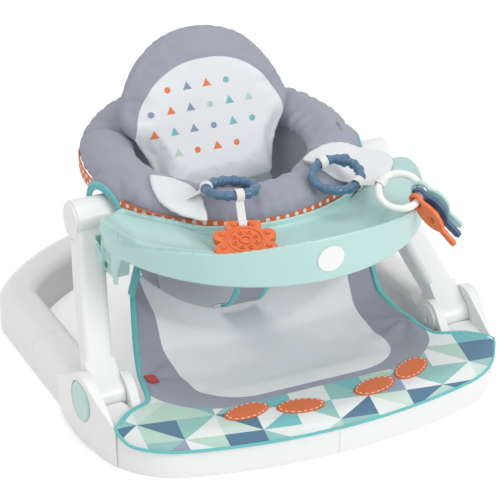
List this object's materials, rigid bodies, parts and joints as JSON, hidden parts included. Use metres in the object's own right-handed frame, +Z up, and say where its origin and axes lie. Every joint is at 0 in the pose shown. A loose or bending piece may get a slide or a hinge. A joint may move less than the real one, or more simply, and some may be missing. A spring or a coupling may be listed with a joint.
{
  "type": "baby floor seat with tray",
  "caption": "Folding floor seat for a baby: looped base with a cloth foot mat, swing-down arms, padded ring seat with head pad, and a lift-off tray with hanging toys.",
  "frame": {"origin": "on the floor under the middle of the whole seat's length and width", "axes": "+Z up, the child faces -Y, +X is the side with the key toys"},
  "size_m": [0.5258, 0.5931, 0.3774],
  "materials": {
    "white_plastic": "satin",
    "mint_plastic": "satin",
    "slate_plastic": "satin",
    "orange_plastic": "satin",
    "steel": "plain",
    "board": "plain",
    "grey_fabric": "woven",
    "mat_fabric": "printed",
    "white_fabric": "woven",
    "teal_fabric": "woven",
    "orange_fabric": "printed",
    "tag_fabric": "woven"
  },
  "bodies": {
    "base": {"base_front_left": "white_plastic", "base_front_right": "white_plastic", "base_rear": "white_plastic", "side_housing_left": "white_plastic", "side_housing_right": "white_plastic", "pivot_pin_left": "steel", "pivot_pin_right": "steel", "pivot_cover_left": "white_plastic", "pivot_cover_right": "white_plastic", "cover_screws": "steel", "button_spring_left": "steel", "button_spring_right": "steel", "foot_mat": "mat_fabric", "mat_tag": "tag_fabric"},
    "button_left": {"lock_button_left": "mint_plastic"},
    "button_right": {"lock_button_right": "mint_plastic"},
    "arms": {"arm_outer_shell_left": "white_plastic", "arm_outer_shell_right": "white_plastic", "arm_inner_shell_left": "white_plastic", "arm_inner_shell_right": "white_plastic", "hub_cap_left": "white_plastic", "hub_cap_right": "white_plastic", "arm_screws": "steel"},
    "seat": {"seat_ring_frame": "white_plastic", "hub_axle_left": "white_plastic", "hub_axle_right": "white_plastic", "seat_bolster": "grey_fabric", "hem_trim": "orange_fabric", "head_pad_cushion": "grey_fabric", "head_pad_board": "board", "head_pad_back": "grey_fabric", "seat_sling": "grey_fabric", "crotch_strap": "grey_fabric", "leg_strap_left": "teal_fabric", "leg_strap_right": "teal_fabric", "flap_left": "white_fabric", "flap_right": "white_fabric", "flap_loop_left": "white_fabric", "flap_loop_right": "white_fabric"},
    "tray": {"tray": "mint_plastic", "tray_badge": "white_plastic"},
    "latch_left": {"tray_latch_left": "mint_plastic"},
    "latch_right": {"tray_latch_right": "mint_plastic"},
    "link_left": {"link_ring_left": "slate_plastic"},
    "link_right": {"link_ring_right": "slate_plastic"},
    "teether": {"teether": "orange_plastic", "teether_strap": "white_fabric"},
    "key_ring": {"key_ring": "white_plastic", "key_strap": "white_fabric"},
    "key_mint": {"key_mint": "mint_plastic"},
    "key_blue": {"key_blue": "slate_plastic"},
    "key_orange": {"key_orange": "orange_plastic"}
  },
  "joints": [
    {"name": "fold", "type": "hinge", "parent": "base", "child": "arms", "pos_m": [0, -0.13945, 0.054], "axis": [-1, 0, 0], "range_deg": [0, 28], "deforming": ["seat_sling", "crotch_strap", "leg_strap_left", "leg_strap_right", "foot_mat", "flap_left", "flap_right", "flap_loop_left", "flap_loop_right"]},
    {"name": "seat_level", "type": "hinge", "parent": "arms", "child": "seat", "pos_m": [0, 0.00655, 0.21], "axis": [-1, 0, 0], "range_deg": [-28, 0], "deforming": ["seat_sling", "crotch_strap", "leg_strap_left", "leg_strap_right", "foot_mat", "flap_left", "flap_right", "flap_loop_left", "flap_loop_right"]},
    {"name": "button_left_press", "type": "slide", "parent": "base", "child": "button_left", "axis": [1, 0, 0], "range_m": [0, 0.004], "stiffness_N_per_m": 800, "springref_m": -0.004, "deforming": ["button_spring_left"]},
    {"name": "button_right_press", "type": "slide", "parent": "base", "child": "button_right", "axis": [-1, 0, 0], "range_m": [0, 0.004], "stiffness_N_per_m": 800, "springref_m": -0.004, "deforming": ["button_spring_right"]},
    {"name": "tray_lift", "type": "slide", "parent": "arms", "child": "tray", "axis": [0, -0.5, 0.866], "range_m": [0, 0.2], "deforming": ["flap_left", "flap_right", "flap_loop_left", "flap_loop_right"]},
    {"name": "latch_left_press", "type": "hinge", "parent": "tray", "child": "latch_left", "pos_m": [-0.1995, -0.05995, 0.193], "axis": [0, 1, 0], "range_deg": [0, 12], "stiffness_Nm_per_rad": 0.5, "springref_deg": -11.46},
    {"name": "latch_right_press", "type": "hinge", "parent": "tray", "child": "latch_right", "pos_m": [0.1995, -0.05995, 0.193], "axis": [0, -1, 0], "range_deg": [0, 12], "stiffness_Nm_per_rad": 0.5, "springref_deg": -11.46},
    {"name": "link_left_lift", "type": "hinge", "parent": "tray", "child": "link_left", "pos_m": [-0.07883, -0.09441, 0.2715], "axis": [-0.4185, -0.8975, 0.1392], "range_deg": [0, 35], "deforming": ["flap_loop_left"]},
    {"name": "link_right_lift", "type": "hinge", "parent": "tray", "child": "link_right", "pos_m": [0.07373, -0.09057, 0.27238], "axis": [-0.977, -0.1569, -0.1446], "range_deg": [0, 35], "deforming": ["flap_loop_right"]},
    {"name": "teether_swing", "type": "hinge", "parent": "link_left", "child": "teether", "pos_m": [-0.05537, -0.13461, 0.27523], "axis": [-0.9948, 0.0902, 0.0476], "range_deg": [0, 22], "deforming": ["teether_strap"]},
    {"name": "key_ring_swing", "type": "hinge", "parent": "link_right", "child": "key_ring", "pos_m": [0.09554, -0.14088, 0.26291], "axis": [-0.8073, -0.5482, -0.2183], "range_deg": [0, 25], "deforming": ["key_strap"]},
    {"name": "key_mint_swing", "type": "hinge", "parent": "key_ring", "child": "key_mint", "pos_m": [0.14402, -0.20574, 0.27329], "axis": [-0.6636, -0.7233, -0.1909], "range_deg": [0, 15]},
    {"name": "key_blue_swing", "type": "hinge", "parent": "key_ring", "child": "key_blue", "pos_m": [0.14013, -0.21241, 0.2688], "axis": [-0.8122, -0.5134, -0.277], "range_deg": [0, 15]},
    {"name": "key_orange_swing", "type": "hinge", "parent": "key_ring", "child": "key_orange", "pos_m": [0.13371, -0.21709, 0.26473], "axis": [-0.8907, -0.3156, -0.3272], "range_deg": [0, 15]}
  ],
  "couplings": [
    {"joint": "seat_level", "follows": "fold", "ratio": -1}
  ]
}
